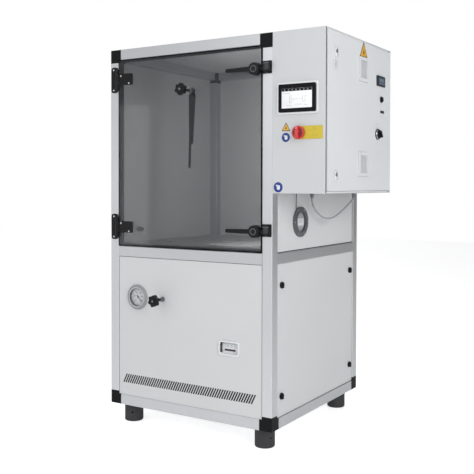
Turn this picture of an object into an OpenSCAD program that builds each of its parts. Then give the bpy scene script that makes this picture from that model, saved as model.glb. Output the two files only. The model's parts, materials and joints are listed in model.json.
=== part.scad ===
// Dust test cabinet: an aluminium-profile frame with a smoked pane door above,
// a plant compartment below and a control box hung on its right side.
// All modules are written in cabinet coordinates (x = 0, y = 0 at the middle of
// the square frame, z = 0 at its underside) and at() moves them to the origin
// of the part, the middle of its footprint on the floor. Millimetres, +Z up,
// front towards -Y.

/* [Frame] */
// Height of the profile frame above the feet
frame_h = 1900; // [1850:1:1950]
// Section of the square profiles
prof = 55; // [54:1:56]
// Underside of the middle beams
mid_z = 797; // [795:1:799]
// Reach of the corner connectors along each edge
cap_len = 70; // [66:1:76]
// Thickness of the outer sheet panels
sheet = 2; // [1.5:0.5:3]

/* [Feet] */
// Height of the feet
foot_h = 100; // [90:1:110]
// Diameter of the feet
foot_d = 100; // [80:1:110]
// Distance of the feet from the middle, both ways
foot_pos = 412; // [405:1:415]

/* [Chamber door] */
// Thickness of the smoked pane
pane_t = 15; // [12:1:15]
// Gap between the pane and the posts
pane_gap = 1; // [1:0.5:2]
// Radius of the two star knobs
star_r = 31; // [24:1:32]
// Length of the wiper from its shaft to the end of the blade
wiper_len = 390; // [340:5:400]

/* [Control box] */
// Width of the box body, from the frame out to the edge of its walls
box_w = 276; // [276:1:276]
// Length of the box, front to back
box_l = 800; // [780:5:800]
// Height of the box
box_h = 760; // [755:1:765]
// Setback of the door from the outside of the box walls
door_set = 10; // [10:1:12]

/* [Front panel] */
// Pitch of the slanted slots
slot_pitch = 14.25; // [14:0.25:15]
// Width of each slot
slot_w = 9; // [5:0.5:9.5]
// Number of slots
slot_n = 57; // [30:1:57]

/* [Hidden] */
$fn = 64;

half = 500;                      // half the frame's width and depth
inn = half - prof;               // inner faces of the profiles
mid_top = mid_z + prof;
// the footprint runs from the left post to the selector knob on the box door,
// and from the front of the star knobs to the rear posts
ctr_x = 154;
ctr_y = -42.5;
module at() { translate([-ctr_x, -ctr_y, foot_h]) children(); }

hinge_ax = -449;                 // chamber door axis
hinge_ay = -512;
hinge_z = [955, 1739];
latch_x = 413;
latch_z = [957, 1731];
star_front = -585;
wiper_x = 17;
wiper_z = 1655;
wiper_tilt = 1.7;
valve_x = -152;
valve_z = 586;
gauge_x = -318;
gauge_z = 585;
pane_front = -503;
pane_back = pane_front + pane_t;
pane_half = inn - pane_gap;
fast = [[-398, 694], [406, 694], [406, 153], [-398, 153]];   // y, z
bx0 = 500;                       // control box
bx1 = bx0 + box_w;
by0 = -500;
by1 = by0 + box_l;
bz1 = frame_h;
bz0 = frame_h - box_h;
dface = 781;                     // outer face of the box door
dhx = 774;                       // axis of the box door
dhy = by1 - 7;
dh_z = [bz0 + 140, bz1 - 140];
lock_y = -400;
lock_z = [1228, 1800];
vent_yz = [[-78, 1755], [-78, 1284]];
ctl_y = 144.5;
ctl_z = 1721;
btn_y = 154;
btn_z = 1627;
sel_y = 106;
sel_z = 1444;
msw_x = 643;
msw_z = 1422;
port_y = -207;
port_z = 994;
gland_pt = [[530, -142], [597, 226]];
cable_d = 9;
cable_route = [[530, -142, 1112], [530, -142, 1100], [532, -131, 1072], [537, -104, 1044],
  [546, -54, 1014], [556, 0, 1005], [566, 56, 1014], [577, 116, 1040], [588, 176, 1074],
  [595, 215, 1100], [597, 226, 1112]];

// ---------- helpers
module bx(a, b) translate(a) cube(b - a);
module cx(y, z, x0, x1, r) translate([x0, y, z]) rotate([0, 90, 0]) cylinder(h = x1 - x0, r = r);
module cy(x, z, y0, y1, r) translate([x, y1, z]) rotate([90, 0, 0]) cylinder(h = y1 - y0, r = r);
module cz(x, y, z0, z1, r) translate([x, y, z0]) cylinder(h = z1 - z0, r = r);
// rounded rectangle of true arcs, centred
module rr(w, h, r) {
  square([w - 2 * r, h], center = true);
  square([w, h - 2 * r], center = true);
  for (i = [-1, 1], j = [-1, 1]) translate([i * (w / 2 - r), j * (h / 2 - r)]) circle(r);
}
// plate standing in the XZ plane between y0 and y1; its outline is drawn as x, z
module xz(y0, y1) translate([0, y1, 0]) rotate([90, 0, 0]) linear_extrude(y1 - y0) children();
// plate standing in the YZ plane between x0 and x1; its outline is drawn as y, z
module yz(x0, x1) translate([x0, 0, 0]) rotate([90, 0, 90]) linear_extrude(x1 - x0) children();
function catmull(p0, p1, p2, p3, t) = 0.5 * ((2 * p1) + (p2 - p0) * t
  + (2 * p0 - 5 * p1 + 4 * p2 - p3) * t * t + (3 * p1 - p0 - 3 * p2 + p3) * t * t * t);
function smooth(p, k) = let (n = len(p)) [for (i = [0:n - 2], j = [0:k - 1])
  catmull(p[max(i - 1, 0)], p[i], p[i + 1], p[min(i + 2, n - 1)], j / k), p[n - 1]];
function unit(v) = v / norm(v);
module tube(p, d, s) {
  n = len(p);
  side = unit(cross(p[n - 1] - p[0], [0, 0, 1]));
  rings = [for (i = [0:n - 1]) let (t = unit(p[min(i + 1, n - 1)] - p[max(i - 1, 0)]),
    u = unit(cross(t, side))) for (k = [0:s - 1]) p[i] + d / 2 * (cos(k * 360 / s) * side + sin(k * 360 / s) * u)];
  faces = concat([[for (k = [0:s - 1]) k]],
    [for (i = [0:n - 2], k = [0:s - 1]) [i * s + k, (i + 1) * s + k, (i + 1) * s + (k + 1) % s, i * s + (k + 1) % s]],
    [[for (k = [s - 1:-1:0]) (n - 1) * s + k]]);
  polyhedron(rings, faces);
}
module star(r) {
  circle(r * 0.8);
  for (a = [0:60:359]) rotate(a + 20) translate([r * 0.69, 0]) circle(r * 0.31);
}

// ---------- frame
module frame_posts() color("silver") at()
  for (i = [-1, 1], j = [-1, 1]) translate([i * (half - prof / 2), j * (half - prof / 2), cap_len])
    linear_extrude(frame_h - 2 * cap_len) difference() {
      rr(prof, prof, 3);
      rr(prof - 6, prof - 6, 2);
    }
module rail_x(y, z, l) translate([-l / 2, y, z]) rotate([90, 0, 90])
  linear_extrude(l) difference() { rr(prof, prof, 3); rr(prof - 6, prof - 6, 2); }
module rail_y(x, z, l) translate([x, l / 2, z]) rotate([90, 0, 0])
  linear_extrude(l) difference() { rr(prof, prof, 3); rr(prof - 6, prof - 6, 2); }
module frame_rails() color("silver") at() {
  c = half - prof / 2;
  for (s = [-1, 1], z = [prof / 2, frame_h - prof / 2]) {
    rail_x(s * c, z, 2 * (half - cap_len));
    rail_y(s * c, z, 2 * (half - cap_len));
  }
  for (s = [-1, 1]) {
    rail_x(s * c, mid_z + prof / 2, 2 * inn);
    rail_y(s * c, mid_z + prof / 2, 2 * inn);
  }
}
// one three-way connector with its corner at the origin, arms along +X, +Y, +Z
module connector() {
  t = prof - 7;
  difference() {
    union() {
      cube([cap_len, prof, prof]);
      cube([prof, cap_len, prof]);
      cube([prof, prof, cap_len]);
      // tongues inside the profiles
      translate([cap_len, 3.5, 3.5]) cube([35, t, t]);
      translate([3.5, cap_len, 3.5]) cube([t, 35, t]);
      translate([3.5, 3.5, cap_len]) cube([t, t, 35]);
    }
  }
}
module corner_connectors() color([0.1, 0.1, 0.11]) at()
  for (i = [0, 1], j = [0, 1], k = [0, 1]) mirror([i, 0, 0]) mirror([0, j, 0])
    translate([0, 0, k * frame_h]) mirror([0, 0, k]) translate([-half, -half, 0]) connector();
module side_sheet(z0, z1) yz(half - 8, half - 8 + sheet)
  translate([0, (z0 + z1) / 2]) square([2 * inn, z1 - z0], center = true);
module wall_panels() color([0.85, 0.86, 0.86]) at() {
  // roof
  bx([-inn, -inn, frame_h - 8], [inn, inn, frame_h - 6]);
  // rear and left, upper and lower
  for (z = [[prof, mid_z], [mid_top, frame_h - prof]]) {
    bx([-inn, half - 8, z[0]], [inn, half - 6, z[1]]);
    bx([-half + 6, -inn, z[0]], [-half + 8, inn, z[1]]);
  }
  // right upper, with the round hole of the port
  difference() {
    side_sheet(mid_top, frame_h - prof);
    cx(port_y, port_z, half - 20, half + 20, 56);
  }
}
module base_plate() color([0.7, 0.71, 0.72]) at() {
  difference() {
    bx([-inn, -inn, 4], [inn, inn, 7]);
    for (i = [-1, 1], j = [-1, 1]) cz(i * foot_pos, j * foot_pos, 0, 10, 14);
  }
  for (i = [-1, 1], j = [-1, 1]) difference() {
    translate([i * foot_pos, j * foot_pos, -6]) linear_extrude(6) rr(126, 126, 6);
    cz(i * foot_pos, j * foot_pos, -10, 10, 8.05);
  }
}
module foot(i, j, a) color([0.2, 0.2, 0.21]) at() translate([i * foot_pos, j * foot_pos, -foot_h]) {
  difference() {
    union() {
      cylinder(h = 5, r1 = foot_d / 2 - 4, r2 = foot_d / 2);
      translate([0, 0, 5]) cylinder(h = foot_h - 6.4 - 5, r = foot_d / 2);
      translate([0, 0, foot_h - 8]) cylinder(h = 9, r = 8);
    }
    rotate([0, 0, a]) translate([20, 0, 50]) rotate([0, 90, 0]) cylinder(h = 50, r = 5);
  }
}
module foot_1() foot(-1, -1, -61);
module foot_2() foot(1, -1, -24);
module foot_3() foot(1, 1, 10);
module foot_4() foot(-1, 1, 140);

// ---------- lower compartment
module front_lower_panel() color([0.85, 0.86, 0.86]) at() difference() {
  bx([-inn, -half + 3, prof], [inn, -half + 3 + sheet, mid_z]);
  xz(-half - 5, -half + 10)
    for (i = [0:slot_n - 1]) translate([-418 + i * slot_pitch, 121])
      polygon([[0, 0], [slot_w, 0], [slot_w + 23, 47], [23, 47]]);
  cy(gauge_x, gauge_z, -half - 5, -half + 10, 56);
  cy(valve_x, valve_z, -half - 5, -half + 10, 10);
  xz(-half - 5, -half + 10) translate([258, 376]) rr(113, 63, 8);
}
module hopper_plate() polyhedron(
  [[-378.5, 380, 851.5], [378.5, 380, 851.5], [78.5, 80, 500.5], [-78.5, 80, 500.5],
   [-378.5, 384, 851.5], [378.5, 384, 851.5], [78.5, 84, 500.5], [-78.5, 84, 500.5]],
  [[0, 1, 2, 3], [7, 6, 5, 4], [0, 4, 5, 1], [1, 5, 6, 2], [2, 6, 7, 3], [3, 7, 4, 0]]);
module dust_funnel() color([0.74, 0.75, 0.76]) at() {
  for (a = [0:90:270]) rotate(a) hopper_plate();
  // deck strips that close the floor around the funnel mouth and the duct
  for (s = [-1, 1]) {
    bx([s > 0 ? 445.5 : -489, -444.5, 852], [s > 0 ? 489 : -445.5, 444.5, 855]);
    bx([s > 0 ? 379.5 : -445, -466, 852], [s > 0 ? 445 : -379.5, 489, 855]);
  }
  bx([-379, -466, 852], [379, -379.5, 855]);
  bx([-379, 379.5, 852], [61.5, 489, 855]);
  bx([178.5, 379.5, 852], [379, 489, 855]);
  bx([62, 379.5, 852], [178, 393.5, 855]);
  bx([62, 436.5, 852], [178, 489, 855]);
  // outlet collar, four plates
  for (a = [0:90:270]) rotate(a) bx([-79.7, 80, 440], [79.7, 84, 500]);
}
module blower_housing() color([0.62, 0.64, 0.66]) at() difference() {
  union() {
    cz(0, 0, 300, 440, 175);
    bx([62, 0, 300], [178, 394, 440]);
  }
  cz(0, 0, 304, 436, 171);
  bx([66, 0, 304], [174, 400, 436]);
  cz(0, 0, 430, 450, 76);
  cz(0, 0, 290, 310, 24);
}
module air_duct() color([0.7, 0.72, 0.74]) at() difference() {
  bx([62, 394, 300], [178, 436, 870]);
  bx([66, 390, 304], [174, 432, 436]);
  bx([66, 398, 304], [174, 432, 880]);
}
module blower_motor() color([0.25, 0.33, 0.42]) at() difference() {
  union() {
    cz(0, 0, 110, 296, 88);
    for (a = [0:30:359]) rotate(a) bx([84, -2, 130], [98, 2, 270]);
    bx([-70, -70, 7], [70, 70, 110]);
    cz(0, 0, 296, 300, 60);
    bx([88, -35, 180], [130, 35, 250]);
  }
  cz(0, 0, 220, 310, 10.05);
}
module blower_impeller() color([0.6, 0.6, 0.62]) at() {
  cz(0, 0, 232, 330, 10);
  difference() {
    cz(0, 0, 312, 318, 140);
    cz(0, 0, 311, 319, 10);
  }
  for (a = [0:30:359]) rotate(a) translate([0, 0, 318]) linear_extrude(90)
    polygon([[80, 0], [138, -30], [138, -26], [80, 4]]);
}
module vacuum_pump() color([0.3, 0.36, 0.42]) at() translate([280, -230, 7]) {
  bx([-110, -60, 0], [110, 60, 14]);
  translate([-100, 0, 88]) rotate([0, 90, 0]) cylinder(h = 120, r = 58);
  bx([20, -50, 14], [105, 50, 170]);
  bx([-80, -20, 14], [0, 20, 34]);
  translate([62, 0, 170]) cylinder(h = 40, r = 26);
}

// ---------- gauge, valve and recess in the front panel
module gauge_case() color([0.72, 0.73, 0.74]) at() {
  difference() {
    union() {
      translate([gauge_x, -half + 3, gauge_z]) rotate([90, 0, 0]) rotate_extrude()
        polygon([[0, 0], [65.5, 0], [65.5, 5], [61, 9.5], [50, 10], [47, 9.5], [0, 9.5]]);
      cy(gauge_x, gauge_z, -half + 3, -440, 54);
    }
    cy(gauge_x, gauge_z, -520, -489, 47);
    cy(gauge_x, gauge_z, -493, -481, 3.05);
  }
  difference() {
    cy(gauge_x, gauge_z, -490, -489, 46.5);
    cy(gauge_x, gauge_z, -493, -481, 3.05);
  }
}
module gauge_lens() color([0.85, 0.9, 0.92, 0.35]) at() cy(gauge_x, gauge_z, -503, -501, 47);
module gauge_pointer() color([0.1, 0.1, 0.1]) at() {
  cy(gauge_x, gauge_z, -496, -483, 3);
  cy(gauge_x, gauge_z, -496, -494, 6);
  xz(-494.5, -493.3) translate([gauge_x, gauge_z]) rotate(-50)
    polygon([[-14, -2], [-14, 2], [0, 2.6], [36, 0.8], [36, -0.8], [0, -2.6]]);
}
module valve_body() color([0.55, 0.56, 0.58]) at() difference() {
  union() {
    cy(valve_x, valve_z, -504, -497, 14);
    cy(valve_x, valve_z, -522, -504, 9);
    cy(valve_x, valve_z, -497, -495, 9.9);
    cy(valve_x, valve_z, -495, -489, 17);
    bx([valve_x - 22, -489, valve_z - 22], [valve_x + 22, -440, valve_z + 22]);
    bx([valve_x - 50, -475, valve_z - 10], [valve_x + 50, -455, valve_z + 10]);
  }
  cy(valve_x, valve_z, -530, -470, 5.05);
}
module star_knob() difference() {
  union() {
    xz(star_front + 3, star_front + 24) star(star_r);
    xz(star_front, star_front + 3) circle(star_r * 0.5);
    xz(star_front + 24, star_front + 34) circle(11);
  }
  xz(star_front - 1, star_front + 1.5) circle(8);
}
module valve_knob() color([0.09, 0.09, 0.1]) at() {
  translate([valve_x, 0, valve_z]) star_knob();
  cy(valve_x, valve_z, star_front + 34, -474, 5);
}
module recess_box() color([0.86, 0.87, 0.87]) at() {
  difference() {
    union() {
      xz(-502, -497) translate([258, 376]) rr(121, 71, 14);
      xz(-497, -470) translate([258, 376]) rr(112, 62, 8);
    }
    xz(-510, -474) translate([258, 376]) rr(108, 58, 12);
  }
  difference() {
    xz(-480, -474) translate([258, 376]) rr(107.9, 57.9, 12);
    xz(-490, -477) translate([252, 364]) square([64, 10], center = true);
  }
}

// ---------- right side
module service_panel() color([0.85, 0.86, 0.86]) at() difference() {
  side_sheet(prof, mid_z);
  for (f = fast) cx(f[0], f[1], half - 20, half + 20, 5.05);
}
module fastener(f) color([0.08, 0.08, 0.09]) at() {
  cx(f[0], f[1], half - 5.7, half + 2, 16);
  cx(f[0], f[1], half + 2, half + 5, 13);
  translate([0, f[0], f[1]]) bx([half + 5, -3, -13], [half + 9, 3, 13]);
  cx(f[0], f[1], half - 18, half - 5.7, 5);
  translate([0, f[0], f[1]]) bx([half - 18, -8, -8], [half - 15, 8, 24]);
}
module service_fastener_1() fastener(fast[0]);
module service_fastener_2() fastener(fast[1]);
module service_fastener_3() fastener(fast[2]);
module service_fastener_4() fastener(fast[3]);
module port_flange() color([0.72, 0.73, 0.74]) at() {
  difference() {
    union() {
      cx(port_y, port_z, half - 6, half + 4, 76);
      cx(port_y, port_z, half - 50, half - 6, 54);
      cx(port_y, port_z, half + 4, half + 7, 60);
    }
    cx(port_y, port_z, half - 100, half + 20, 50);
  }
  // thin lead from the box down to the ring
  cz(half + 5, port_y - 58, port_z + 61, bz0, 2.5);
}
module port_plug() color([0.55, 0.56, 0.58]) at() {
  cx(port_y, port_z, half - 49, half - 6, 49.6);
  cx(port_y, port_z, half - 6, half - 2, 40);
}

// ---------- chamber door
module door_seal() color([0.07, 0.07, 0.08]) at() {
  for (s = [-1, 1]) bx([s > 0 ? inn - 12 : -inn, -487.7, mid_top], [s > 0 ? inn : -inn + 12, -470, frame_h - prof]);
  bx([-inn + 12, -487.7, mid_top], [inn - 12, -470, mid_top + 12]);
  bx([-inn + 12, -487.7, frame_h - prof - 12], [inn - 12, -470, frame_h - prof]);
}
module hinge_post_leaves() color([0.09, 0.09, 0.1]) at() for (z = hinge_z) {
  difference() {
    union() {
      xz(-504, -500) translate([-471.5, z]) rr(44, 136, 14);
      for (s = [-1, 1]) {
        cz(hinge_ax, hinge_ay, s > 0 ? z + 30.4 : z - 56, s > 0 ? z + 56 : z - 30.4, 8);
        bx([-462, -512, s > 0 ? z + 30.4 : z - 56], [hinge_ax, -504, s > 0 ? z + 56 : z - 30.4]);
      }
    }
    for (s = [-1, 1]) cz(hinge_ax, hinge_ay, s > 0 ? z + 25 : z - 60, s > 0 ? z + 60 : z - 25, 3);
  }
  // pin, held in the post leaf
  cz(hinge_ax, hinge_ay, z - 58, z + 58, 3);
}
module door_hinge_leaves() color([0.09, 0.09, 0.1]) at() for (z = hinge_z) difference() {
  union() {
    xz(-509, pane_front) translate([-393, z]) rr(94, 60, 5);
    cz(hinge_ax, hinge_ay, z - 30, z + 30, 8);
    bx([hinge_ax, -512, z - 30], [-436, -504.5, z + 30]);
  }
  cz(hinge_ax, hinge_ay, z - 40, z + 40, 3.06);
}
module door_pane() color([0.35, 0.38, 0.4, 0.6]) at() difference() {
  bx([-pane_half, pane_front, mid_top + 1], [pane_half, pane_back, frame_h - prof - 3]);
  for (z = latch_z) cy(latch_x, z, -520, -480, 5.5);
  cy(wiper_x, wiper_z, -520, -480, 10.05);
}
module latch_keepers() color([0.09, 0.09, 0.1]) at() for (z = latch_z) {
  xz(-506, -500) translate([472, z + 6]) rr(50, 60, 4);
  bx([464, -514, z - 14], [495, -506, z + 26]);
  bx([457, -522, z - 14], [495, -514, z + 26]);
}
module latch_bases() color([0.12, 0.12, 0.13]) at() for (z = latch_z) difference() {
  cy(latch_x, z, -511, pane_front, 31);
  cy(latch_x, z, -520, -500, 5.06);
}
module latch(z) color([0.09, 0.09, 0.1]) at() translate([latch_x, 0, z]) {
  xz(-532, -511.4) circle(29);
  xz(-534, -532) circle(24);
  // lever, with a rounded end
  xz(-531, -519) { polygon([[0, -12], [-150, -9], [-150, 9], [0, 12]]); translate([-150, 0]) circle(9); }
  // nose that reaches to the keeper, one millimetre short of its lip
  xz(-521, -515) polygon([[0, -10], [0, 10], [42.9, 8], [42.9, -8]]);
  xz(-511.4, -482) circle(5);
  xz(-487.4, -480) circle(9);
}
module latch_upper() latch(latch_z[1]);
module latch_lower() latch(latch_z[0]);
module wiper_bush() color([0.75, 0.76, 0.78]) at() difference() {
  union() {
    cy(wiper_x, wiper_z, -507, pane_front, 22);
    cy(wiper_x, wiper_z, -513, -507, 15);
    cy(wiper_x, wiper_z, pane_front, pane_back, 10);
    cy(wiper_x, wiper_z, pane_back, -483, 18);
  }
  cy(wiper_x, wiper_z, -520, -475, 6.06);
}
module wiper_knob() color([0.09, 0.09, 0.1]) at() {
  translate([wiper_x, 0, wiper_z]) star_knob();
  cy(wiper_x, wiper_z, star_front + 34, -463, 6);
}
module wiper_arm() color([0.08, 0.08, 0.09]) at() translate([wiper_x, 0, wiper_z]) rotate([0, wiper_tilt, 0]) {
  difference() {
    union() {
      xz(-482, -464) circle(13);
      xz(-478, -468) polygon([[-13, 0], [0, 19], [13, 0], [16, -22], [-16, -22]]);
      xz(-476, -466) polygon([[-18, -20], [18, -20], [9, -268], [-9, -268]]);
    }
    cy(0, 0, -490, -460, 6);
  }
}
module wiper_blade() color([0.05, 0.05, 0.05]) at() translate([wiper_x, 0, wiper_z]) rotate([0, wiper_tilt, 0]) {
  bx([-5, -483, -wiper_len], [5, -476, -wiper_len + 250]);
  bx([-1.5, -487.6, -wiper_len], [1.5, -483, -wiper_len + 250]);
}

// ---------- chamber floor
module floor_grate() color([0.7, 0.72, 0.73]) at() {
  difference() {
    bx([-438, -458, 867], [438, 392, 870]);
    for (j = [0:26], k = [0, 1]) bx([-412 + k * 420, -440 + j * 30, 860], [-8 + k * 420 + 4, -424 + j * 30, 880]);
  }
  // edge bars and middle bar under the plate
  for (s = [-1, 1]) bx([s > 0 ? 434 : -438, -458, 855.4], [s > 0 ? 438 : -434, 392, 866.9]);
  bx([-433.9, -458, 855.4], [433.9, -454, 866.9]);
  bx([-433.9, 388, 855.4], [433.9, 392, 866.9]);
  bx([-4, -453.9, 857], [4, 387.9, 866.9]);
}

// ---------- control box
module knuckle(z0, z1, r) cz(dhx, dhy, z0, z1, r);
module control_box_body() color([0.84, 0.86, 0.87]) at() {
  difference() {
    bx([bx0, by0, bz0], [bx1, by1, bz1]);
    bx([bx0 + 2, by0 + 2, bz0 + 2], [bx1 - 10, by1 - 2, bz1 - 2]);
    bx([bx1 - 8, by0 + 2, bz0 + 2], [bx1 + 5, by1 - 2, bz1 - 2]);
    bx([bx1 - 20, by0 + 24, bz0 + 26], [bx1 + 5, by1 - 24, bz1 - 26]);
    // cut-outs: touch panel, main switch, glands
    xz(by0 - 5, by0 + 10) translate([633, 1583]) square([166, 104], center = true);
    cy(msw_x, msw_z, by0 - 5, by0 + 10, 12);
    for (g = gland_pt) cz(g[0], g[1], bz0 - 5, bz0 + 10, 8);
  }
  for (z = dh_z) {
    for (s = [-1, 1]) {
      z0 = s > 0 ? z + 20.5 : z - 36;
      difference() {
        union() {
          knuckle(z0, z0 + 15.5, 4.5);
          bx([dhx - 3.5, dhy, z0], [bx1 - 0.5, by1 - 2, z0 + 15.5]);
        }
        knuckle(z0 - 1, z0 + 17, 2.5);
      }
    }
    knuckle(z - 36, z + 36, 2.5);
  }
}
module mounting_plate() color([0.78, 0.79, 0.8]) at() {
  bx([512, -470, bz0 + 30], [515, 270, bz1 - 30]);
  for (y = [-450, 250], z = [bz0 + 50, bz1 - 50]) cx(y, z, 502, 512, 8);
  for (z = [1330, 1530, 1730]) {
    bx([515, -400, z - 8], [520, 230, z + 8]);
    bx([520, -400, z - 17.5], [522, 230, z + 17.5]);
  }
}
module wiring_ducts() color([0.6, 0.62, 0.64]) at() {
  for (z = [1220, 1430, 1630, 1830]) difference() {
    bx([515, -410, z - 20], [575, 240, z + 20]);
    bx([518, -420, z - 17], [580, 250, z + 17]);
  }
  difference() {
    bx([515, -465, 1200], [575, -415, 1850]);
    bx([518, -462, 1190], [580, -418, 1860]);
  }
}
module switchgear() color([0.75, 0.76, 0.77]) at() {
  // power supply, contactors and breakers
  bx([522, -395, 1670], [622, -335, 1795]);
  for (i = [0:4]) {
    bx([522, -310 + i * 50, 1690], [600, -266 + i * 50, 1770]);
    bx([600, -304 + i * 50, 1705], [608, -272 + i * 50, 1755]);
  }
  for (i = [0:7]) {
    bx([522, -395 + i * 19, 1487], [590, -377.6 + i * 19, 1573]);
    bx([590, -390 + i * 19, 1515], [600, -383 + i * 19, 1545]);
  }
  for (i = [0:5]) bx([522, -220 + i * 24, 1495], [600, -198 + i * 24, 1565]);
  // controller
  bx([522, -60, 1470], [640, 200, 1590]);
  // terminals
  for (i = [0:23]) bx([522, -390 + i * 8.4, 1305], [565, -382.4 + i * 8.4, 1355]);
  for (i = [0:9]) bx([522, -150 + i * 26, 1300], [590, -128 + i * 26, 1360]);
}
module cable_glands() color([0.3, 0.31, 0.32]) at() for (g = gland_pt) difference() {
  union() {
    cz(g[0], g[1], bz0 + 2, bz0 + 8, 12);
    cz(g[0], g[1], bz0 - 2, bz0 + 2, 7.9);
    cz(g[0], g[1], bz0 - 5, bz0, 12);
    translate([g[0], g[1], bz0 - 14]) cylinder(h = 9, r = 11, $fn = 6);
    translate([g[0], g[1], bz0 - 28]) cylinder(h = 14, r1 = 6.5, r2 = 10);
  }
  cz(g[0], g[1], bz0 - 40, bz0 + 20, cable_d / 2);
}
module sensor_cable() color([0.55, 0.57, 0.59]) at() tube(smooth(cable_route, 3), cable_d, 10);
module touch_panel_frame() color([0.7, 0.71, 0.72]) at() difference() {
  xz(-504, -500) translate([634, 1582.5]) rr(216, 149, 8);
  xz(-510, -490) translate([633, 1583]) square([166, 104], center = true);
}
module touch_panel() color([0.04, 0.04, 0.05]) at() {
  xz(-511, -504) translate([633, 1583]) rr(192, 131, 7);
  xz(-504, -470) translate([633, 1583]) square([164, 102], center = true);
}
module main_switch_base() color([0.86, 0.76, 0.12]) at() difference() {
  union() {
    xz(-503, -500) translate([690, msw_z]) rr(144, 60, 3);
    cy(msw_x, msw_z, -506, -503, 27);
    cy(msw_x, msw_z, -500, -498, 11.8);
    bx([msw_x - 28, -498, msw_z - 28], [msw_x + 28, -430, msw_z + 28]);
  }
  cy(msw_x, msw_z, -510, -450, 5.05);
}
module main_switch_knob() color([0.75, 0.05, 0.08]) at() {
  cy(msw_x, msw_z, -518, -506.4, 31);
  xz(-534, -518) translate([msw_x, msw_z]) rr(16, 58, 7);
  cy(msw_x, msw_z, -506.4, -455, 5);
}
module box_door() color([0.84, 0.86, 0.87]) at() {
  y0 = by0 + door_set + 2; y1 = by1 - door_set - 2; z0 = bz0 + door_set + 2; z1 = bz1 - door_set - 2;
  difference() {
    union() {
      bx([dface - 10, y0, z0], [dface, y1, z1]);
      for (z = dh_z) {
        knuckle(z - 20, z + 20, 4.5);
        bx([dhx - 3, y1 - 1, z - 20], [dhx + 3, dhy, z + 20]);
      }
    }
    bx([dface - 20, y0 + 2, z0 + 2], [dface - 2, y1 - 2, z1 - 2]);
    for (z = dh_z) knuckle(z - 30, z + 30, 2.56);
    for (v = vent_yz) yz(dface - 5, dface + 5) translate(v) square([92, 96], center = true);
    yz(dface - 5, dface + 5) translate([ctl_y, ctl_z]) square([92, 45], center = true);
    cx(btn_y, btn_z, dface - 5, dface + 5, 11);
    cx(sel_y, sel_z, dface - 5, dface + 5, 11);
    for (z = lock_z) cx(lock_y, z, dface - 5, dface + 5, 8.06);
  }
  // lock escutcheons
  for (z = lock_z) difference() {
    union() {
      yz(dface, dface + 3) translate([lock_y, z - 4]) rr(34, 52, 16.9);
      cx(lock_y, z, dface - 14, dface - 2, 13);
    }
    cx(lock_y, z, dface - 20, dface + 5, 8.06);
  }
}
module vent_frames() color([0.78, 0.79, 0.8]) at() for (v = vent_yz) translate([0, v[0], v[1]]) {
  difference() {
    union() {
      yz(dface, dface + 6) rr(116, 120, 4);
      yz(dface - 30, dface) square([91, 95], center = true);
    }
    yz(dface - 26, dface + 10) square([84, 88], center = true);
  }
  for (i = [-5:5]) translate([dface - 3, 0, i * 8]) rotate([0, 35, 0]) cube([9, 84, 1.5], center = true);
}
module door_controller() color([0.1, 0.12, 0.14]) at() {
  yz(dface, dface + 6) translate([ctl_y, ctl_z]) rr(108, 53, 3);
  yz(dface - 60, dface) translate([ctl_y, ctl_z]) square([91, 44], center = true);
  // guide of the push button and base of the selector
  difference() {
    union() {
      cx(btn_y, btn_z, dface, dface + 3, 16);
      cx(btn_y, btn_z, dface - 30, dface, 10.9);
    }
    cx(btn_y, btn_z, dface - 26, dface + 5, 8.3);
  }
  difference() {
    union() {
      cx(sel_y, sel_z, dface, dface + 5, 25);
      cx(sel_y, sel_z, dface - 40, dface, 10.9);
    }
    cx(sel_y, sel_z, dface - 30, dface + 6, 5.05);
  }
}
module push_button() color([0.06, 0.06, 0.07]) at() {
  cx(btn_y, btn_z, dface + 7.5, dface + 10, 13);
  cx(btn_y, btn_z, dface - 20, dface + 7.5, 8);
}
module selector_knob() color([0.07, 0.07, 0.08]) at() {
  cx(sel_y, sel_z, dface + 5.4, dface + 15, 22);
  yz(dface + 15, dface + 27) translate([sel_y, sel_z]) rotate(35) rr(12, 40, 5);
  cx(sel_y, sel_z, dface - 25, dface + 5.4, 5);
}
module cam_lock(z) color([0.06, 0.06, 0.07]) at() {
  difference() {
    cx(lock_y, z, dface - 30, dface + 5, 8);
    cx(lock_y, z, dface + 1, dface + 10, 4.5);
  }
  translate([0, lock_y, z]) bx([dface - 34, -74.5, -8], [dface - 30, 9, 8]);
}
module cam_lock_upper() cam_lock(lock_z[1]);
module cam_lock_lower() cam_lock(lock_z[0]);

frame_posts();
frame_rails();
corner_connectors();
wall_panels();
base_plate();
service_panel();
dust_funnel();
blower_housing();
blower_motor();
blower_impeller();
air_duct();
vacuum_pump();
front_lower_panel();
door_seal();
hinge_post_leaves();
latch_keepers();
gauge_case();
gauge_lens();
gauge_pointer();
valve_body();
valve_knob();
recess_box();
port_flange();
port_plug();
control_box_body();
mounting_plate();
wiring_ducts();
switchgear();
main_switch_base();
main_switch_knob();
touch_panel_frame();
touch_panel();
cable_glands();
sensor_cable();
service_fastener_1();
service_fastener_2();
service_fastener_3();
service_fastener_4();
foot_1();
foot_2();
foot_3();
foot_4();
floor_grate();
door_pane();
door_hinge_leaves();
latch_bases();
latch_upper();
latch_lower();
wiper_bush();
wiper_knob();
wiper_arm();
wiper_blade();
box_door();
vent_frames();
door_controller();
push_button();
selector_knob();
cam_lock_upper();
cam_lock_lower();
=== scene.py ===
import json
import math
import random

import bmesh
import bpy
from mathutils import Matrix, Vector


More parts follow.
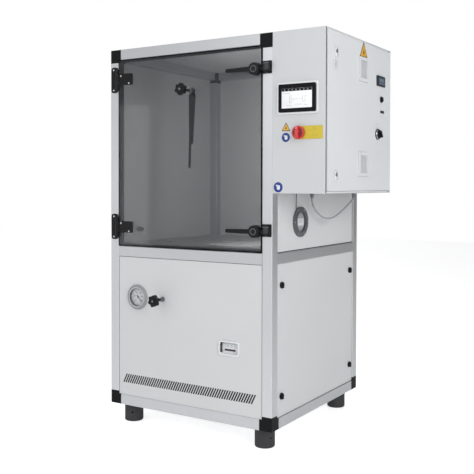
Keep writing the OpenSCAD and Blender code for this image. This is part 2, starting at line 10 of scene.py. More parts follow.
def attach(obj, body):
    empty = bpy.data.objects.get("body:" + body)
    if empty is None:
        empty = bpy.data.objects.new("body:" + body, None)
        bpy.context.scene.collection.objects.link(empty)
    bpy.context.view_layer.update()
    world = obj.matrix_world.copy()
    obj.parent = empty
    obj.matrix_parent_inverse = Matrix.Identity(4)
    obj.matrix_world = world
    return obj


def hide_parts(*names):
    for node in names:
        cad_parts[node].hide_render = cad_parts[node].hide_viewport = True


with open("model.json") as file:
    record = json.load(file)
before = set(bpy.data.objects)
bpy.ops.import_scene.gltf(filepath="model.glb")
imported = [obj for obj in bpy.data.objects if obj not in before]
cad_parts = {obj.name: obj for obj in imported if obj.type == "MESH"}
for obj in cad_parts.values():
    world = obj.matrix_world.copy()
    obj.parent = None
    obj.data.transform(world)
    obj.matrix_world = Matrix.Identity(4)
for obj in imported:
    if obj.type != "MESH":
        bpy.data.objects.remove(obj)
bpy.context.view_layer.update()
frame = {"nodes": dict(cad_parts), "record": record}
N = frame["nodes"]
scene = bpy.context.scene
scene.view_settings.view_transform = "Standard"
scene.view_settings.look = "None"
random.seed(7)


# Cabinet millimetres (middle of the square frame, underside of the frame) to the row frame in metres
def P(x, y, z):
    return Vector(((x - 154) / 1000, (y + 42.5) / 1000, (z + 100) / 1000))


# ---------------------------------------------------------------- camera
yaw, pitch, roll = math.radians(31.945), math.radians(1.129), math.radians(0.118)
fwd = Vector((-math.sin(yaw) * math.cos(pitch), math.cos(yaw) * math.cos(pitch), -math.sin(pitch)))
right = Vector((math.cos(yaw), math.sin(yaw), 0))
up = right.cross(fwd)
r2 = math.cos(roll) * right + math.sin(roll) * up
u2 = -math.sin(roll) * right + math.cos(roll) * up
cam_data = bpy.data.cameras.new("camera")
cam = bpy.data.objects.new("camera", cam_data)
scene.collection.objects.link(cam)
m = Matrix.Identity(4)
for i, col in enumerate((r2, u2, -fwd)):
    for j in range(3):
        m[j][i] = col[j]
m.translation = Vector((2.16594, -3.67719, 1.27885))
cam.matrix_world = m
cam_data.sensor_width = 36
cam_data.lens = 59.38
cam_data.shift_x = -0.0034
cam_data.shift_y = -0.077
cam_data.clip_start, cam_data.clip_end = 0.05, 100
scene.camera = cam


# ---------------------------------------------------------------- materials
def tree(name):
    mat = bpy.data.materials.new(name)
    mat.use_nodes = True
    nt = mat.node_tree
    nt.nodes.clear()
    out = nt.nodes.new("ShaderNodeOutputMaterial")
    p = nt.nodes.new("ShaderNodeBsdfPrincipled")
    nt.links.new(p.outputs[0], out.inputs[0])
    return mat, nt, p


def node(nt, kind, **k):
    n = nt.nodes.new(kind)
    for a, v in k.items():
        setattr(n, a, v)
    return n


def scaled(c, f):
    return (min(c[0] * f, 1), min(c[1] * f, 1), min(c[2] * f, 1), 1)


def finish_mat(name, base, rough=0.5, metallic=0.0, var=0.04, var_scale=5.0, grain=0.1,
               grain_scale=900.0, stretch=(1, 1, 1), rough_var=0.08, edge=0.0, edge_highlight_col=None,
               bevel=0.0012, coat=0.0, spec=0.5, dust=0.0, anis=0.0, alpha=1.0, depth=0.0003):
    """Painted, moulded or metal surface: large soft colour drift, fine grain bump, roughness
    drift, rounded edges, and a painted highlight: a lighter colour along the edges."""
    mat, nt, p = tree(name)
    L = nt.links.new
    tc = node(nt, "ShaderNodeTexCoord")
    big = node(nt, "ShaderNodeTexNoise")
    big.inputs["Scale"].default_value = var_scale
    big.inputs["Detail"].default_value = 5
    L(tc.outputs["Object"], big.inputs["Vector"])
    mr = node(nt, "ShaderNodeMapRange")
    mr.inputs["From Min"].default_value, mr.inputs["From Max"].default_value = 0.32, 0.68
    L(big.outputs["Fac"], mr.inputs["Value"])
    mix = node(nt, "ShaderNodeMix", data_type="RGBA")
    mix.inputs[6].default_value = scaled(base, 1 - var)
    mix.inputs[7].default_value = scaled(base, 1 + var)
    L(mr.outputs[0], mix.inputs[0])
    colour = mix.outputs[2]
    mp = node(nt, "ShaderNodeMapping")
    mp.inputs["Scale"].default_value = stretch
    L(tc.outputs["Object"], mp.inputs["Vector"])
    fine = node(nt, "ShaderNodeTexNoise")
    fine.inputs["Scale"].default_value = grain_scale
    fine.inputs["Detail"].default_value = 2
    L(mp.outputs[0], fine.inputs["Vector"])
    # fine speckle in the colour
    sp = node(nt, "ShaderNodeMapRange")
    sp.inputs["To Min"].default_value, sp.inputs["To Max"].default_value = 1 - var * 0.7, 1 + var * 0.7
    L(fine.outputs["Fac"], sp.inputs["Value"])
    mul = node(nt, "ShaderNodeMix", data_type="RGBA", blend_type="MULTIPLY")
    mul.inputs[0].default_value = 1
    L(colour, mul.inputs[6])
    L(sp.outputs[0], mul.inputs[7])
    colour = mul.outputs[2]
    bev = node(nt, "ShaderNodeBevel", samples=4)
    bev.inputs["Radius"].default_value = bevel
    # painted highlight: the colour turns towards the lighter edge colour where the rounded-edge normal leaves the face
    # normal, broken up by noise
    if edge > 0:
        geo = node(nt, "ShaderNodeNewGeometry")
        dot = node(nt, "ShaderNodeVectorMath", operation="DOT_PRODUCT")
        L(bev.outputs[0], dot.inputs[0])
        L(geo.outputs["Normal"], dot.inputs[1])
        edge_highlight_mask = node(nt, "ShaderNodeMapRange")
        edge_highlight_mask.inputs["From Min"].default_value, edge_highlight_mask.inputs["From Max"].default_value = 0.995, 0.88
        edge_highlight_mask.inputs["To Max"].default_value = edge
        L(dot.outputs["Value"], edge_highlight_mask.inputs["Value"])
        wn = node(nt, "ShaderNodeTexNoise")
        wn.inputs["Scale"].default_value = 60
        L(tc.outputs["Object"], wn.inputs["Vector"])
        wm = node(nt, "ShaderNodeMath", operation="MULTIPLY")
        L(edge_highlight_mask.outputs[0], wm.inputs[0])
        L(wn.outputs["Fac"], wm.inputs[1])
        edge_highlight_mix = node(nt, "ShaderNodeMix", data_type="RGBA")
        L(wm.outputs[0], edge_highlight_mix.inputs[0])
        L(colour, edge_highlight_mix.inputs[6])
        edge_highlight_mix.inputs[7].default_value = (*(edge_highlight_col or scaled(base, 1.6)[:3]), 1)
        colour = edge_highlight_mix.outputs[2]
    if dust > 0:
        geo2 = node(nt, "ShaderNodeNewGeometry")
        sep = node(nt, "ShaderNodeSeparateXYZ")
        L(geo2.outputs["Normal"], sep.inputs[0])
        dm = node(nt, "ShaderNodeMapRange")
        dm.inputs["From Min"].default_value, dm.inputs["From Max"].default_value = 0.5, 1.0
        dm.inputs["To Max"].default_value = dust
        L(sep.outputs["Z"], dm.inputs["Value"])
        dn = node(nt, "ShaderNodeMath", operation="MULTIPLY")
        L(dm.outputs[0], dn.inputs[0])
        L(mr.outputs[0], dn.inputs[1])
        dx = node(nt, "ShaderNodeMix", data_type="RGBA")
        L(dn.outputs[0], dx.inputs[0])
        L(colour, dx.inputs[6])
        dx.inputs[7].default_value = (0.5, 0.48, 0.44, 1)
        colour = dx.outputs[2]
    L(colour, p.inputs["Base Color"])
    rr = node(nt, "ShaderNodeMapRange")
    rr.inputs["To Min"].default_value = max(rough - rough_var, 0.02)
    rr.inputs["To Max"].default_value = min(rough + rough_var, 1)
    L(big.outputs["Fac"], rr.inputs["Value"])
    L(rr.outputs[0], p.inputs["Roughness"])
    bump = node(nt, "ShaderNodeBump")
    bump.inputs["Strength"].default_value = grain
    bump.inputs["Distance"].default_value = depth
    L(fine.outputs["Fac"], bump.inputs["Height"])
    L(bev.outputs[0], bump.inputs["Normal"])
    L(bump.outputs[0], p.inputs["Normal"])
    p.inputs["Metallic"].default_value = metallic
    p.inputs["Specular IOR Level"].default_value = spec
    p.inputs["Coat Weight"].default_value = coat
    p.inputs["Coat Roughness"].default_value = 0.08
    p.inputs["Anisotropic"].default_value = anis
    p.inputs["Alpha"].default_value = alpha
    return mat


ALU = (0.62, 0.632, 0.65)
mats = {
    "alu_post": finish_mat("alu_post", scaled(ALU, 0.94)[:3], 0.38, 0.92, 0.02, 3, 0.16, 260, (6, 6, 0.12), 0.05, bevel=0.0012),
    # the rails take a darker copy of the posts' aluminium (0.86 against 0.94 of ALU): painted shade for the darker
    # beams
    "aluminium": finish_mat("aluminium_rail_shaded", scaled(ALU, 0.86)[:3], 0.38, 0.92, 0.02, 3, 0.12, 260, (0.5, 0.5, 6), 0.05, bevel=0.0012),
    "cap_black": finish_mat("cap_black", (0.005, 0.0052, 0.006), 0.5, 0, 0.1, 12, 0.25, 1500, edge=0.3, edge_highlight_col=(0.05, 0.05, 0.055), bevel=0.003, spec=0.12),
    "panel_white": finish_mat("panel_white", (0.548, 0.556, 0.566), 0.46, 0, 0.012, 3, 0.2, 1100, bevel=0.001, spec=0.4),
    "box_paint": finish_mat("box_paint", (0.615, 0.63, 0.643), 0.42, 0, 0.012, 3, 0.25, 900, bevel=0.0016, edge=0.25, edge_highlight_col=(0.86, 0.87, 0.88), spec=0.4),
    # the box body takes a darker copy of the box paint (0.505 against 0.615): painted shade for its less lit front
    "box_body": finish_mat("box_body", (0.505, 0.517, 0.527), 0.42, 0, 0.012, 3, 0.25, 900, bevel=0.0016, edge=0.25, edge_highlight_col=(0.8, 0.81, 0.82), spec=0.4),
    "edge_black": finish_mat("edge_black", (0.0035, 0.0035, 0.004), 0.6, 0, 0.1, 30, 0.3, 900, bevel=0.0006, spec=0.08),
    "sheet_steel": finish_mat("sheet_steel", (0.62, 0.63, 0.64), 0.34, 0.9, 0.05, 9, 0.12, 500, (8, 0.3, 8), 0.1),
    "stainless": finish_mat("stainless", (0.6, 0.61, 0.62), 0.3, 0.95, 0.05, 14, 0.15, 420, (0.4, 8, 8), 0.1, dust=0.3),
    "foot_rubber": finish_mat("foot_rubber", (0.024, 0.024, 0.026), 0.7, 0, 0.12, 25, 0.5, 700, edge=0.3, edge_highlight_col=(0.14, 0.14, 0.14), bevel=0.002),
    "seal_rubber": finish_mat("seal_rubber", (0.012, 0.012, 0.014), 0.6, 0, 0.15, 30, 0.4, 900, bevel=0.002),
    "fitting_black": finish_mat("fitting_black", (0.0045, 0.0048, 0.0055), 0.36, 0, 0.12, 30, 0.3, 1600, edge=0.45, edge_highlight_col=(0.09, 0.09, 0.095), bevel=0.0016, spec=0.2),
    "gauge_grey": finish_mat("gauge_grey", (0.25, 0.255, 0.262), 0.36, 0.2, 0.03, 20, 0.1, 1200, coat=0.2, bevel=0.0012),
    "pointer_black": finish_mat("pointer_black", (0.02, 0.02, 0.02), 0.4, 0, 0.1, 60, 0.1, 2000, bevel=0.0003),
    "valve_metal": finish_mat("valve_metal", (0.26, 0.26, 0.27), 0.3, 1.0, 0.03, 30, 0.08, 900, (1, 6, 1), 0.06, bevel=0.0008),
    "recess_white": finish_mat("recess_white", (0.68, 0.69, 0.7), 0.4, 0, 0.015, 12, 0.1, 1300, bevel=0.0015),
    "port_metal": finish_mat("port_metal", (0.125, 0.13, 0.137), 0.42, 0.4, 0.04, 18, 0.15, 350, (6, 1, 1), 0.08),
    "plug_grey": finish_mat("plug_grey", (0.3, 0.31, 0.33), 0.55, 0, 0.06, 22, 0.3, 900, bevel=0.002),
    "duct_grey": finish_mat("duct_grey", (0.42, 0.43, 0.45), 0.5, 0, 0.03, 14, 0.15, 1200),
    "device_grey": finish_mat("device_grey", (0.55, 0.56, 0.575), 0.45, 0, 0.03, 16, 0.15, 1400, bevel=0.0008),
    "switch_yellow": finish_mat("switch_yellow", (0.52, 0.40, 0.014), 0.4, 0, 0.04, 20, 0.15, 1200, coat=0.15),
    "switch_red": finish_mat("switch_red", (0.5, 0.014, 0.014), 0.28, 0, 0.06, 25, 0.1, 1500, edge=0.3, edge_highlight_col=(0.75, 0.12, 0.1), coat=0.3, bevel=0.0015),
    # dark red for the hollows beside the switch grip: painted shade
    "red_grip_shade": finish_mat("red_grip_shade", (0.13, 0.008, 0.008), 0.4, 0, 0.1, 25, 0.1, 1500, bevel=0.0006),
    "hmi_black": finish_mat("hmi_black", (0.003, 0.003, 0.004), 0.4, 0, 0.1, 10, 0.03, 1800, bevel=0.0012, spec=0.12),
    "gland_grey": finish_mat("gland_grey", (0.16, 0.165, 0.17), 0.45, 0, 0.06, 30, 0.2, 1200, edge=0.3),
    "motor_paint": finish_mat("motor_paint", (0.07, 0.13, 0.2), 0.4, 0, 0.08, 12, 0.5, 500, edge=0.4, edge_highlight_col=(0.25, 0.3, 0.35)),
    "cast_grey": finish_mat("cast_grey", (0.34, 0.36, 0.38), 0.5, 0, 0.06, 10, 0.6, 380, edge=0.3),
    "impeller_metal": finish_mat("impeller_metal", (0.55, 0.55, 0.56), 0.35, 1.0, 0.05, 16, 0.2, 500),
    "controller_black": finish_mat("controller_black", (0.012, 0.014, 0.018), 0.3, 0, 0.1, 20, 0.15, 1500, edge=0.4, edge_highlight_col=(0.1, 0.11, 0.12)),
    "screw_steel": finish_mat("screw_steel", (0.75, 0.75, 0.74), 0.24, 1.0, 0.04, 60, 0.1, 1500, bevel=0.0004),
    "insert_grey": finish_mat("insert_grey", (0.16, 0.16, 0.165), 0.35, 0.3, 0.05, 40, 0.05, 2000, bevel=0.0004),
    "dial_grey": finish_mat("dial_grey", (0.62, 0.63, 0.65), 0.5, 0, 0.02, 40, 0.05, 2000, bevel=0.0002),
    "label_dim": finish_mat("label_dim", (0.58, 0.59, 0.6), 0.5, 0, 0.03, 40, 0.05, 2000, bevel=0.0002),
    "ink_faint": finish_mat("ink_faint", (0.47, 0.48, 0.5), 0.5, 0, 0.05, 40, 0.05, 2000, bevel=0.0002),
    # dark strips for the gaps round the panels: painted shadow
    "painted_gap_shade": finish_mat("painted_gap_shade", (0.06, 0.062, 0.066), 0.8, 0, 0.1, 40, 0.2, 1500, bevel=0.0002, spec=0.1),
    "label_grey": finish_mat("label_grey", (0.5, 0.51, 0.52), 0.4, 0.3, 0.04, 40, 0.05, 2000, bevel=0.0002),
    "paper_white": finish_mat("paper_white", (0.66, 0.67, 0.68), 0.5, 0, 0.02, 40, 0.05, 2000, bevel=0.0002),
    "vent_grey": finish_mat("vent_grey", (0.62, 0.63, 0.645), 0.45, 0, 0.03, 16, 0.15, 1400, bevel=0.0008),
    "ochre": finish_mat("ochre", (0.42, 0.32, 0.02), 0.45, 0, 0.05, 40, 0.05, 2000, bevel=0.0002),
    "ink_dark": finish_mat("ink_dark", (0.03, 0.03, 0.035), 0.5, 0, 0.1, 40, 0.05, 2000, bevel=0.0002),
    "ink_grey": finish_mat("ink_grey", (0.4, 0.41, 0.43), 0.5, 0, 0.05, 40, 0.05, 2000, bevel=0.0002),
    "sticker_yellow": finish_mat("sticker_yellow", (0.66, 0.37, 0.04), 0.38, 0, 0.05, 60, 0.05, 2000, bevel=0.0002),
    "sticker_blue": finish_mat("sticker_blue", (0.008, 0.032, 0.21), 0.35, 0, 0.05, 60, 0.05, 2000, bevel=0.0002),
    "slot_dark": finish_mat("slot_dark", (0.045, 0.02, 0.035), 0.35, 0, 0.1, 40, 0.05, 2000, bevel=0.0004),
    "filter_dark": finish_mat("filter_dark", (0.02, 0.02, 0.021), 0.9, 0, 0.3, 200, 0.9, 900, bevel=0.0002, spec=0.1, depth=0.002),
    "filter_mat": finish_mat("filter_mat", (0.5, 0.51, 0.53), 0.9, 0, 0.2, 200, 0.9, 900, bevel=0.0002, depth=0.002),
    "wire_black": finish_mat("wire_black", (0.02, 0.02, 0.02), 0.4, 0, 0.1, 60, 0.1, 1500, bevel=0.0004),
    "wire_blue": finish_mat("wire_blue", (0.02, 0.06, 0.35), 0.4, 0, 0.1, 60, 0.1, 1500, bevel=0.0004),
    "wire_red": finish_mat("wire_red", (0.4, 0.02, 0.02), 0.4, 0, 0.1, 60, 0.1, 1500, bevel=0.0004),
    "terminal_green": finish_mat("terminal_green", (0.12, 0.3, 0.05), 0.45, 0, 0.05, 60, 0.1, 1500, bevel=0.0004),
}


def smoked_mat():
    """Smoked clear sheet, with faint wiping marks in its gloss."""
    mat, nt, p = tree("smoked_pane")
    L = nt.links.new
    tc = node(nt, "ShaderNodeTexCoord")
    mp = node(nt, "ShaderNodeMapping")
    mp.inputs["Scale"].default_value = (3, 3, 14)
    mp.inputs["Rotation"].default_value = (0, 0.5, 0)
    L(tc.outputs["Object"], mp.inputs["Vector"])
    n = node(nt, "ShaderNodeTexNoise")
    n.inputs["Scale"].default_value = 2.2
    n.inputs["Detail"].default_value = 4
    L(mp.outputs[0], n.inputs["Vector"])
    rr = node(nt, "ShaderNodeMapRange")
    rr.inputs["To Min"].default_value, rr.inputs["To Max"].default_value = 0.02, 0.11
    L(n.outputs["Fac"], rr.inputs["Value"])
    L(rr.outputs[0], p.inputs["Roughness"])
    mix = node(nt, "ShaderNodeMix", data_type="RGBA")
    mix.inputs[6].default_value = (0.022, 0.026, 0.028, 1)
    mix.inputs[7].default_value = (0.030, 0.0345, 0.037, 1)
    L(n.outputs["Fac"], mix.inputs[0])
    L(mix.outputs[2], p.inputs["Base Color"])
    p.inputs["Specular IOR Level"].default_value = 0.7
    p.inputs["IOR"].default_value = 1.49
    p.inputs["Alpha"].default_value = 0.37
    return mat


def lens_mat():
    mat, nt, p = tree("lens")
    L = nt.links.new
    tc = node(nt, "ShaderNodeTexCoord")
    n = node(nt, "ShaderNodeTexNoise")
    n.inputs["Scale"].default_value = 30
    L(tc.outputs["Object"], n.inputs["Vector"])
    rr = node(nt, "ShaderNodeMapRange")
    rr.inputs["To Min"].default_value, rr.inputs["To Max"].default_value = 0.02, 0.08
    L(n.outputs["Fac"], rr.inputs["Value"])
    L(rr.outputs[0], p.inputs["Roughness"])
    mix = node(nt, "ShaderNodeMix", data_type="RGBA")
    mix.inputs[6].default_value = (0.7, 0.73, 0.75, 1)
    mix.inputs[7].default_value = (0.78, 0.8, 0.82, 1)
    L(n.outputs["Fac"], mix.inputs[0])
    L(mix.outputs[2], p.inputs["Base Color"])
    p.inputs["Alpha"].default_value = 0.1
    return mat


def screen_mat():
    """Lit display: a dark bar over a pale field, with its own light."""
    mat, nt, p = tree("screen_lit")
    L = nt.links.new
    tc = node(nt, "ShaderNodeTexCoord")
    n = node(nt, "ShaderNodeTexNoise")
    n.inputs["Scale"].default_value = 12
    L(tc.outputs["Object"], n.inputs["Vector"])
    mix = node(nt, "ShaderNodeMix", data_type="RGBA")
    mix.inputs[6].default_value = (0.70, 0.71, 0.72, 1)
    mix.inputs[7].default_value = (0.76, 0.77, 0.78, 1)
    L(n.outputs["Fac"], mix.inputs[0])
    L(mix.outputs[2], p.inputs["Base Color"])
    L(mix.outputs[2], p.inputs["Emission Color"])
    p.inputs["Emission Strength"].default_value = 0.05
    p.inputs["Roughness"].default_value = 0.25
    return mat


def display_mat():
    """Small blue-grey instrument display, in faint horizontal bands."""
    mat, nt, p = tree("display_blue")
    L = nt.links.new
    tc = node(nt, "ShaderNodeTexCoord")
    w = node(nt, "ShaderNodeTexWave", wave_type="BANDS", bands_direction="Z")
    w.inputs["Scale"].default_value = 60
    w.inputs["Distortion"].default_value = 0.6
    L(tc.outputs["Object"], w.inputs["Vector"])
    mix = node(nt, "ShaderNodeMix", data_type="RGBA")
    mix.inputs[6].default_value = (0.04, 0.062, 0.09, 1)
    mix.inputs[7].default_value = (0.075, 0.105, 0.14, 1)
    L(w.outputs["Fac"], mix.inputs[0])
    L(mix.outputs[2], p.inputs["Base Color"])
    p.inputs["Emission Strength"].default_value = 0.1
    L(mix.outputs[2], p.inputs["Emission Color"])
    p.inputs["Roughness"].default_value = 0.3
    return mat


def sheath_mat():
    """Grey cable sheath with the faint winding of the cores under it."""
    mat, nt, p = tree("cable_sheath")
    L = nt.links.new
    tc = node(nt, "ShaderNodeTexCoord")
    w = node(nt, "ShaderNodeTexWave", wave_type="BANDS", bands_direction="Y")
    w.inputs["Scale"].default_value = 55
    w.inputs["Distortion"].default_value = 1.0
    L(tc.outputs["Object"], w.inputs["Vector"])
    n = node(nt, "ShaderNodeTexNoise")
    n.inputs["Scale"].default_value = 40
    L(tc.outputs["Object"], n.inputs["Vector"])
    mix = node(nt, "ShaderNodeMix", data_type="RGBA")
    mix.inputs[6].default_value = (0.24, 0.25, 0.26, 1)
    mix.inputs[7].default_value = (0.31, 0.32, 0.335, 1)
    L(n.outputs["Fac"], mix.inputs[0])
    L(mix.outputs[2], p.inputs["Base Color"])
    b = node(nt, "ShaderNodeBump")
    b.inputs["Strength"].default_value = 0.35
    b.inputs["Distance"].default_value = 0.0004
    L(w.outputs["Fac"], b.inputs["Height"])
    L(b.outputs[0], p.inputs["Normal"])
    p.inputs["Roughness"].default_value = 0.42
    return mat


mats["smoked_pane"] = smoked_mat()
mats["lens"] = lens_mat()
mats["screen_lit"] = screen_mat()
mats["display_blue"] = display_mat()
mats["cable_grey"] = sheath_mat()


# ---------------------------------------------------------------- mesh helpers
AX = {"x": 0, "y": 1, "z": 2}


class Shape:
    """Collects closed solids, given in cabinet millimetres, into one mesh piece."""

    def __init__(self):
        self.bm = bmesh.new()
        self.mats = []

    def _add(self, b, mat):
        if mat not in self.mats:
            self.mats.append(mat)
        k = self.mats.index(mat)
        bmesh.ops.recalc_face_normals(b, faces=b.faces)
        for f in b.faces:
            f.material_index = k
        me = bpy.data.meshes.new("tmp")
        b.to_mesh(me)
        b.free()
        self.bm.from_mesh(me)
        bpy.data.meshes.remove(me)
        return self

    @staticmethod
    def _bevel(b, r, seg, angle=30):
        if r <= 0:
            return
        es = [e for e in b.edges if len(e.link_faces) == 2 and e.calc_face_angle(0) > math.radians(angle)]
        bmesh.ops.bevel(b, geom=es, offset=r, segments=seg, affect="EDGES", profile=0.5, clamp_overlap=True)

    def box(self, lo, hi, mat, r=0.0, seg=2, rot=None, about=None):
        b = bmesh.new()
        bmesh.ops.create_cube(b, size=1)
        for v in b.verts:
            v.co = Vector([lo[i] + (v.co[i] + 0.5) * (hi[i] - lo[i]) for i in range(3)])
        self._bevel(b, r, seg)
        if rot:
            c = Vector(about or [(lo[i] + hi[i]) / 2 for i in range(3)])
            bmesh.ops.rotate(b, cent=c, matrix=Matrix.Rotation(math.radians(rot[1]), 3, rot[0].upper()), verts=b.verts)
        return self._add(b, mat)

    def prism(self, pts, axis, d0, d1, mat, r=0.0, seg=2):
        """pts are 2D: (y, z) for axis x, (x, z) for axis y, (x, y) for axis z."""
        b = bmesh.new()

        def at(u, v, d):
            return {"x": (d, u, v), "y": (u, d, v), "z": (u, v, d)}[axis]

        lo = [b.verts.new(at(u, v, d0)) for u, v in pts]
        hi = [b.verts.new(at(u, v, d1)) for u, v in pts]
        b.faces.new(lo)
        b.faces.new(hi[::-1])
        n = len(pts)
        for i in range(n):
            b.faces.new([lo[i], hi[i], hi[(i + 1) % n], lo[(i + 1) % n]])
        bmesh.ops.recalc_face_normals(b, faces=b.faces)
        if r > 0:
            es = [e for e in b.edges if len(e.link_faces) == 2 and e.calc_face_angle(0) > math.radians(50)
                  and abs(e.verts[0].co[AX[axis]] - e.verts[1].co[AX[axis]]) < 1e-6]
            bmesh.ops.bevel(b, geom=es, offset=r, segments=seg, affect="EDGES", profile=0.5, clamp_overlap=True)
        return self._add(b, mat)

    def disc(self, u, v, r, axis, d0, d1, mat, bev=0.0, seg=40, r2=None):
        pts = [(u + r * math.cos(2 * math.pi * i / seg), v + r * math.sin(2 * math.pi * i / seg)) for i in range(seg)]
        return self.prism(pts, axis, d0, d1, mat, bev)

    def ring(self, u, v, r_in, r_out, axis, d0, d1, mat, seg=56, bev=0.4):
        """Closed ring with rounded edges."""
        b = bmesh.new()
        prof = [(r_in, d0 + bev), (r_in + bev, d0), (r_out - bev, d0), (r_out, d0 + bev),
                (r_out, d1 - bev), (r_out - bev, d1), (r_in + bev, d1), (r_in, d1 - bev)]
        rows = []
        for i in range(seg):
            a = 2 * math.pi * i / seg
            row = []
            for rad, d in prof:
                p, q = u + rad * math.cos(a), v + rad * math.sin(a)
                row.append(b.verts.new({"x": (d, p, q), "y": (p, d, q), "z": (p, q, d)}[axis]))
            rows.append(row)
        k = len(prof)
        for i in range(seg):
            for j in range(k):
                b.faces.new([rows[i][j], rows[(i + 1) % seg][j], rows[(i + 1) % seg][(j + 1) % k], rows[i][(j + 1) % k]])
        return self._add(b, mat)

    def tube(self, pts, d, mat, seg=10):
        b = bmesh.new()
        pts = [Vector(p) for p in pts]
        ref = Vector((0.31, 0.87, 0.38)).normalized()
        rows = []
        for i, p in enumerate(pts):
            t = (pts[min(i + 1, len(pts) - 1)] - pts[max(i - 1, 0)]).normalized()
            s = t.cross(ref).normalized()
            w = s.cross(t)
            rows.append([b.verts.new(p + d / 2 * (math.cos(2 * math.pi * k / seg) * s + math.sin(2 * math.pi * k / seg) * w))
                         for k in range(seg)])
        for i in range(len(pts) - 1):
            for k in range(seg):
                b.faces.new([rows[i][k], rows[i + 1][k], rows[i + 1][(k + 1) % seg], rows[i][(k + 1) % seg]])
        b.faces.new(rows[0])
        b.faces.new(rows[-1][::-1])
        return self._add(b, mat)

    def screw(self, u, v, axis, face, out, r=4.2, mat="screw_steel"):
        """Pan-head screw with a hex socket, its head standing out from `face` towards `out` (+1 or -1)."""
        seg = 28
        b = bmesh.new()
        prof = [(r, -0.3), (r, 0.8), (r * 0.88, 1.7), (r * 0.6, 2.3), (r * 0.48, 2.35)]
        rows = []
        for rad, h in prof:
            rows.append([b.verts.new(self._at(axis, face + out * h, u + rad * math.cos(2 * math.pi * i / seg),
                                              v + rad * math.sin(2 * math.pi * i / seg))) for i in range(seg)])
        hexr = []
        for h in (2.35, 0.7):
            hexr.append([b.verts.new(self._at(axis, face + out * h, u + r * 0.42 * math.cos(2 * math.pi * i / 6),
                                              v + r * 0.42 * math.sin(2 * math.pi * i / 6))) for i in range(6)])
        for j in range(len(rows) - 1):
            for i in range(seg):
                b.faces.new([rows[j][i], rows[j][(i + 1) % seg], rows[j + 1][(i + 1) % seg], rows[j + 1][i]])
        b.faces.new(rows[0])
        top = rows[-1]
        for i in range(seg):
            a, c = top[i], top[(i + 1) % seg]
            h0, h1 = hexr[0][int(round(i * 6 / seg)) % 6], hexr[0][int(round((i + 1) * 6 / seg)) % 6]
            if h0 is h1:
                b.faces.new([a, c, h0])
            else:
                b.faces.new([a, c, h1, h0])
        for i in range(6):
            b.faces.new([hexr[0][i], hexr[0][(i + 1) % 6], hexr[1][(i + 1) % 6], hexr[1][i]])
        b.faces.new(hexr[1])
        return self._add(b, mat)

    @staticmethod
    def _at(axis, d, u, v):
        return {"x": (d, u, v), "y": (u, d, v), "z": (u, v, d)}[axis]

    def done(self, name, body, angle=32):
        for v in self.bm.verts:
            v.co = P(*v.co)
        me = bpy.data.meshes.new(name)
        self.bm.to_mesh(me)
        self.bm.free()
        for k in self.mats:
            me.materials.append(mats[k])
        me.polygons.foreach_set("use_smooth", [True] * len(me.polygons))
        me.set_sharp_from_angle(angle=math.radians(angle))
        ob = bpy.data.objects.new(name, me)
        scene.collection.objects.link(ob)
        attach(ob, body)
        return ob


def rounded(cx, cy, w, h, r, n=6):
    pts = []
    for k, (sx, sy) in enumerate(((1, 1), (-1, 1), (-1, -1), (1, -1))):
        for i in range(n + 1):
            a = math.radians(90 * k + 90 * i / n)
            pts.append((cx + sx * (w / 2 - r) + r * math.cos(a), cy + sy * (h / 2 - r) + r * math.sin(a)))
    return pts


def tri(cx, cy, w, h, r):
    """Triangle with rounded corners, apex up."""
    raw = [(cx - w / 2, cy - h / 2), (cx + w / 2, cy - h / 2), (cx, cy + h / 2)]
    pts = []
    for i in range(3):
        a, b, c = Vector(raw[i - 1]), Vector(raw[i]), Vector(raw[(i + 1) % 3])
        u, v = (a - b).normalized(), (c - b).normalized()
        p0, p1 = b + u * r * 1.6, b + v * r * 1.6
        for k in range(5):
            t = k / 4
            q = (1 - t) ** 2 * p0 + 2 * t * (1 - t) * b + t * t * p1
            pts.append((q.x, q.y))
    return pts


# ---------------------------------------------------------------- the hanging cable
# the same route as the CAD solid: out of one gland, down, and back up into the other
ROUTE = [(530, -142, 1112), (530, -142, 1100), (532, -131, 1072), (537, -104, 1044), (546, -54, 1014), (556, 0, 1005),
         (566, 56, 1014), (577, 116, 1040), (588, 176, 1074), (595, 215, 1100), (597, 226, 1112)]


def catmull(pts, k):
    p = [Vector(q) for q in pts]
    out = []
    for i in range(len(p) - 1):
        a, b, c, d = p[max(i - 1, 0)], p[i], p[i + 1], p[min(i + 2, len(p) - 1)]
        for j in range(k):
            t = j / k
            out.append(0.5 * (2 * b + (c - a) * t + (2 * a - 5 * b + 4 * c - d) * t * t + (3 * b - a - 3 * c + d) * t ** 3))
    out.append(p[-1])
    return out


line = [P(*q) for q in catmull(ROUTE, 4)]
cu = bpy.data.curves.new("sensor_cable_sheath", "CURVE")
cu.dimensions = "3D"
sp = cu.splines.new("POLY")
sp.points.add(len(line) - 1)
for i, q in enumerate(line):
    sp.points[i].co = (*q, 1)
cu.bevel_depth = 0.0045
cu.bevel_resolution = 4
cu.use_fill_caps = True
cu.materials.append(mats["cable_grey"])
cable = bpy.data.objects.new("sensor_cable_sheath", cu)
scene.collection.objects.link(cable)
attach(cable, "cabinet")
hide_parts("sensor_cable")

# ---------------------------------------------------------------- CAD nodes: materials and small rounded edges
slot_of = {s["node"]: s["material_slot"] for s in frame["record"]["subparts"]}
for name, ob in N.items():
    use = {"frame_posts": "alu_post", "vent_frames": "vent_grey", "control_box_body": "box_body"}.get(name, slot_of[name])
    for i in range(max(1, len(ob.data.materials))):
        if i < len(ob.data.materials):
            ob.data.materials[i] = mats[use]
        else:
            ob.data.materials.append(mats[use])


def soften(name, width, seg=3):
    """Welds the faces of a plain solid together and rounds its edges."""
    ob = N[name]
    w = ob.modifiers.new("weld", "WELD")
    w.merge_threshold = 0.00001
    b = ob.modifiers.new("bevel", "BEVEL")
    b.width = width
    b.segments = seg
    b.limit_method = "ANGLE"
    b.angle_limit = math.radians(40)
    b.use_clamp_overlap = False
    b.harden_normals = True


soften("corner_connectors", 0.0022)

